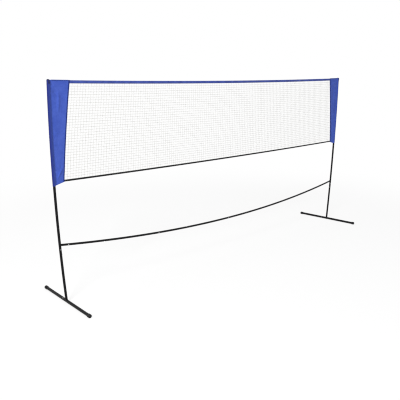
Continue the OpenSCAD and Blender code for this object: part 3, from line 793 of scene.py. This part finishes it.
def make_tape(name, node, z_end, sag, width, fold_up, cloth, thread, wave):
    """A tape over the net's edge, with its fold on the outside and a row of stitches."""
    towards_open = Vector((0, 0, -1 if fold_up else 1))
    crest = -towards_open * width / 2
    tape, size = folded_tape(
        name, lambda t: tape_point(t, z_end, sag) + crest, lambda t: towards_open,
        width, TAPE_HALF_THICK, TAPE_STEPS, wave=wave,
    )
    finish_piece(tape, cloth, [node])
    rows = []
    for face in (FRONT, BACK):
        off = Vector((0, face * (TAPE_HALF_THICK + ON_CLOTH), 0))
        off += crest + towards_open * width * STITCHES_AT
        steps = range(TAPE_STEPS + 1)
        rows.append([tape_point(k / TAPE_STEPS, z_end, sag) + off for k in steps])
    finish_piece(stitch_rows(name + "_stitches", rows), thread)


make_tape(
    "net_top_tape", "top_tape", TOP_TAPE_Z, TOP_SAG, TOP_TAPE_W, True,
    TOP_TAPE_CLOTH, NAVY_THREAD, wave=0.5 * MM,
)
make_tape(
    "net_bottom_tape", "bottom_tape", BOTTOM_TAPE_Z, BOTTOM_SAG, BOTTOM_TAPE_W, False,
    BOTTOM_TAPE_CLOTH, BLACK_THREAD, wave=0.6 * MM,
)


# ---- Net ---------------------------------------------------------------------------------------
MESH_COLUMNS = 145
MESH_ROWS = 35
TWINE_D = 1.5 * MM
KNOT_R = 1.25 * MM
KNOT_SHAPE = (1.1, 1.4, 1)   # a little wide, and standing out to the front and back
UNEVEN = 0.35 * MM           # how far at most each knot sits off its even place
UNEVEN_SCALE = 0.71          # of the noise for that, for each mesh
SLACK = 3.5 * MM             # how far at most the net drifts off its even hang,
SLACK_SCALE = 0.045          # over many meshes,
SLACK_DEPTH = 1.2            # and more so to the front and back
NET_SEED = 5                 # noise_vector takes its offsets from the seed, or else from the clock
NET_TOP_Z = TOP_TAPE_Z - TOP_TAPE_W / 2
NET_BOTTOM_Z = BOTTOM_TAPE_Z + BOTTOM_TAPE_W / 2
MESH_W = 2 * edge_x((NET_TOP_Z + NET_BOTTOM_Z) / 2) / MESH_COLUMNS
MESH_H = (NET_TOP_Z - NET_BOTTOM_Z) / MESH_ROWS


def net_point(u, v):
    """Where the net hangs, at shares of its width and height."""
    z_edge = mix(NET_BOTTOM_Z, NET_TOP_Z, v)
    x = (2 * u - 1) * edge_x(z_edge)
    sag = mix(BOTTOM_SAG, TOP_SAG, v)
    return x, z_edge - sag * (1 - (2 * u - 1) ** 2)


def hang_net(mesh):
    """Moves a flat net, made at an even pitch, to where it hangs between the tapes."""
    for vert in mesh.vertices:
        column, row = vert.co.x / MESH_W, vert.co.z / MESH_H
        near = Vector((round(column), round(row), 0))
        inside = min(column, MESH_COLUMNS - column, row, MESH_ROWS - row)
        uneven = noise.noise_vector(near * UNEVEN_SCALE + Vector((5, 0, 0))) * UNEVEN
        drift = noise.noise_vector(near * SLACK_SCALE) * SLACK
        off = (uneven + drift) * smooth(0, 2, inside)
        x, z = net_point(column / MESH_COLUMNS, row / MESH_ROWS)
        vert.co = (x + off.x, vert.co.y + off.y * SLACK_DEPTH, z + off.z)


def make_net():
    """The twine as one wire mesh, and a knot at each of its crossings."""
    noise.seed_set(NET_SEED)
    bm = bmesh.new()
    bmesh.ops.create_grid(bm, x_segments=MESH_COLUMNS, y_segments=MESH_ROWS, size=0.5)
    wide, high = MESH_COLUMNS * MESH_W, MESH_ROWS * MESH_H
    flat = Matrix(((wide, 0, 0, wide / 2), (0, 0, 1, 0), (0, high, 0, high / 2), (0, 0, 0, 1)))
    bmesh.ops.transform(bm, matrix=flat, verts=bm.verts)
    bmesh.ops.wireframe(
        bm, faces=bm.faces, thickness=TWINE_D, use_replace=True, use_boundary=True,
        use_even_offset=True,
    )
    net = bm_object("net_twine", bm)
    hang_net(net.data)
    finish_piece(net, TWINE, ["net_mesh"])

    bm = bmesh.new()
    bmesh.ops.create_icosphere(bm, subdivisions=1, radius=KNOT_R)
    bmesh.ops.scale(bm, vec=KNOT_SHAPE, verts=bm.verts)
    knots = bm_object("net_knots", bm)
    for name, count, step in (
        ("columns", MESH_COLUMNS + 1, (MESH_W, 0, 0)),
        ("rows", MESH_ROWS + 1, (0, 0, MESH_H)),
    ):
        repeat = knots.modifiers.new(name, "ARRAY")
        repeat.count = count
        repeat.use_relative_offset = False
        repeat.use_constant_offset = True
        repeat.constant_offset_displace = step
    apply_modifiers(knots)
    hang_net(knots.data)
    finish_piece(knots, TWINE)


make_net()


# ---- Welds -------------------------------------------------------------------------------------
FOOT_BEAD_R = 1.7 * MM
SOCKET_BEAD_R = 1.5 * MM
BEAD_POINTS = 96
BEAD_RIPPLE = 0.16           # share of the bead's radius, once in every 4 points


def weld_bead(name, points, bead_r):
    """A closed bead along the line where one tube is welded to another, with its ripples."""
    curve = bpy.data.curves.new(name, "CURVE")
    curve.dimensions = "3D"
    curve.bevel_depth = bead_r
    curve.bevel_resolution = 2
    spline = curve.splines.new("POLY")
    spline.points.add(len(points) - 1)
    spline.use_cyclic_u = True
    for k, (point, place) in enumerate(zip(spline.points, points)):
        point.co = (*place, 1)
        point.radius = 1 + BEAD_RIPPLE * math.sin(k * 2 * math.pi / 4)
    return finish_piece(curve_piece(name, curve), COAT)


def saddle(origin, axis, side_a, side_b, tube_r, other_point, other_axis, other_r):
    """Points where a tube's surface meets the surface of another tube that it stands on. side_a
    and side_b are square to the tube's axis, and the other tube has a point and an axis."""
    points = []
    for k in range(BEAD_POINTS):
        angle = 2 * math.pi * k / BEAD_POINTS
        foot = origin + (side_a * math.cos(angle) + side_b * math.sin(angle)) * tube_r
        low, high = 0.0, 3 * other_r
        for _ in range(30):
            middle = (low + high) / 2
            arm = foot + axis * middle - other_point
            away = (arm - other_axis * arm.dot(other_axis)).length
            low, high = (middle, high) if away < other_r else (low, middle)
        points.append(foot + axis * high)
    return points


def make_welds(side, word):
    """The beads between a post and its foot, and between the crossbar's socket and the post."""
    tilt = POST_LEAN
    up = Vector((side * math.sin(tilt), 0, math.cos(tilt)))
    inwards = Vector((-side * math.cos(tilt), 0, math.sin(tilt)))
    back = Vector((0, 1, 0))
    foot = Vector((side * POST_SPACING / 2, 0, FOOT_AXIS_Z))
    foot_axis = Vector((-side * math.sin(FOOT_TOE), math.cos(FOOT_TOE), 0))
    ring = saddle(foot, up, inwards, back, POST_R, foot, foot_axis, FOOT_R)
    weld_bead(word + "_foot_weld", ring, FOOT_BEAD_R)

    z = BAR_HEIGHT
    tilt = post_tilt(z)
    post_axis = Vector((side * math.sin(tilt), 0, math.cos(tilt)))
    place = Vector((side * post_x(z), 0, z))
    end_angle = math.asin(post_x(z) / BAR_BEND_R)
    end_way = Vector((-side * math.cos(end_angle), 0, -math.sin(end_angle)))
    along = Matrix.Rotation(-BAR_PLANE, 3, "X") @ end_way
    side_a = along.cross(post_axis).normalized()
    ring = saddle(place, along, side_a, along.cross(side_a), BAR_R, place, post_axis, POST_R)
    weld_bead(word + "_socket_weld", ring, SOCKET_BEAD_R)


for side, word in ((LEFT, "left"), (RIGHT, "right")):
    make_welds(side, word)


# ---- Studio ------------------------------------------------------------------------------------
def seen_directly(tree):
    """1 for what the camera sees directly, in a reflection or through glass, and otherwise 0."""
    path = add(tree, "LightPath")
    either = {"operation": "MAXIMUM"}
    direct = add(tree, "Math", either, i0=(path, "Is Camera Ray"), i1=(path, "Is Glossy Ray"))
    return add(tree, "Math", either, i0=(direct, 0), i1=(path, "Is Transmission Ray"))


WHITE = (1, 1, 1, 1)
FLOOR_GREY = (0.93, 0.93, 0.93, 1)
WORLD_LIGHT = 0.32           # how strongly the studio's white walls light the object
FLOOR_NEAR, FLOOR_FAR = 2.2, 5.0      # metres, between which the floor runs into the white


def light_world():
    """A studio that lights softly and looks white."""
    world = bpy.data.worlds.new("studio")
    bpy.context.scene.world = world
    world.use_nodes = True
    tree = world.node_tree
    tree.nodes.clear()
    soft = add(tree, "Background", Color=WHITE, Strength=WORLD_LIGHT)
    white = add(tree, "Background", Color=WHITE, Strength=1.0)
    both = add(tree, "MixShader", i0=(seen_directly(tree), 0), i1=(soft, 0), i2=(white, 0))
    add(tree, "OutputWorld", Surface=(both, 0))


def make_floor():
    """A pale floor that keeps a soft shadow and runs into the white behind it."""
    bm = bmesh.new()
    bmesh.ops.create_grid(bm, x_segments=1, y_segments=1, size=40)
    floor = bm_object("floor", bm, shade_smooth=False)
    material = bpy.data.materials.new("pale_floor")
    material.use_nodes = True
    tree = material.node_tree
    tree.nodes.clear()
    here = (add(tree, "TexCoord"), "Object")
    from_middle = add(tree, "VectorMath", {"operation": "LENGTH"}, i0=here)

    def outwards(near, far):
        """From a value round the object to another one far out on the floor."""
        return add(
            tree, "MapRange", {"interpolation_type": "SMOOTHSTEP"}, Value=(from_middle, 1),
            From_Min=FLOOR_NEAR, From_Max=FLOOR_FAR, To_Min=near, To_Max=far,
        )

    # Near the object 0.3 of the floor's look is its matt surface, which takes the shadow
    matt = add(tree, "BsdfDiffuse", Color=FLOOR_GREY)
    glow = add(tree, "Emission", Color=WHITE, Strength=(outwards(1.13, 1.0), 0))
    seen = (seen_directly(tree), 0)
    part = add(tree, "Math", {"operation": "MULTIPLY"}, i0=seen, i1=(outwards(0.7, 1.0), 0))
    both = add(tree, "MixShader", i0=(part, 0), i1=(matt, 0), i2=(glow, 0))
    add(tree, "OutputMaterial", Surface=(both, 0))
    floor.data.materials.append(material)


def soft_lamp(name, place, target, size, power):
    """A square lamp that looks at a target; its size is in metres and its power in watts."""
    lamp = bpy.data.objects.new(name, bpy.data.lights.new(name, "AREA"))
    lamp.data.shape = "SQUARE"
    lamp.data.size = size
    lamp.data.energy = power
    lamp.location = place
    lamp.rotation_euler = (Vector(target) - Vector(place)).to_track_quat("-Z", "Y").to_euler()
    bpy.context.scene.collection.objects.link(lamp)


light_world()
make_floor()
soft_lamp("key", (-7.0, -3.8, 5.5), (0, 0, 0.8), size=2.0, power=450)
soft_lamp("top", (1.0, 2.5, 7.0), (0, 0, 0.5), size=6.0, power=80)
bpy.context.scene.view_settings.view_transform = "Standard"
bpy.context.scene.cycles.filter_width = 1.15     # pixels
